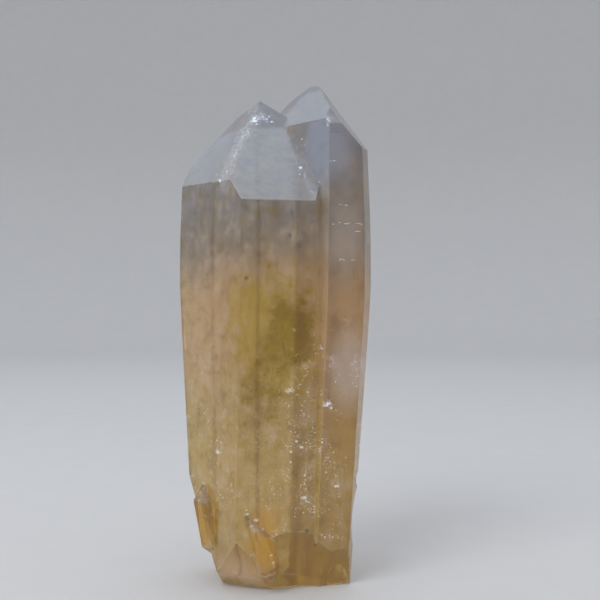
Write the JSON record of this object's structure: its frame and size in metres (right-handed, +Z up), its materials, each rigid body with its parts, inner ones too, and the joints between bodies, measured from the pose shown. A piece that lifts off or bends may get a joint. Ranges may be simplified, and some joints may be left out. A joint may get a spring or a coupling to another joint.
{
  "type": "citrine crystal point",
  "caption": "Clear smoky-golden citrine point: quartz crystals grown side by side with sloping tips, small crystals at the broken foot and fine inclusions; a display specimen.",
  "frame": {"origin": "under the middle of the crystal, on the surface that it stands on", "axes": "+Z up along the crystals' long axes, -Y towards the front, +X to the right seen from the front"},
  "size_m": [0.0638, 0.0488, 0.1653],
  "materials": {
    "citrine": "glossy natural crystal faces, hazy golden inside"
  },
  "bodies": {
    "root": {"citrine_crystal": "citrine"}
  },
  "joints": []
}
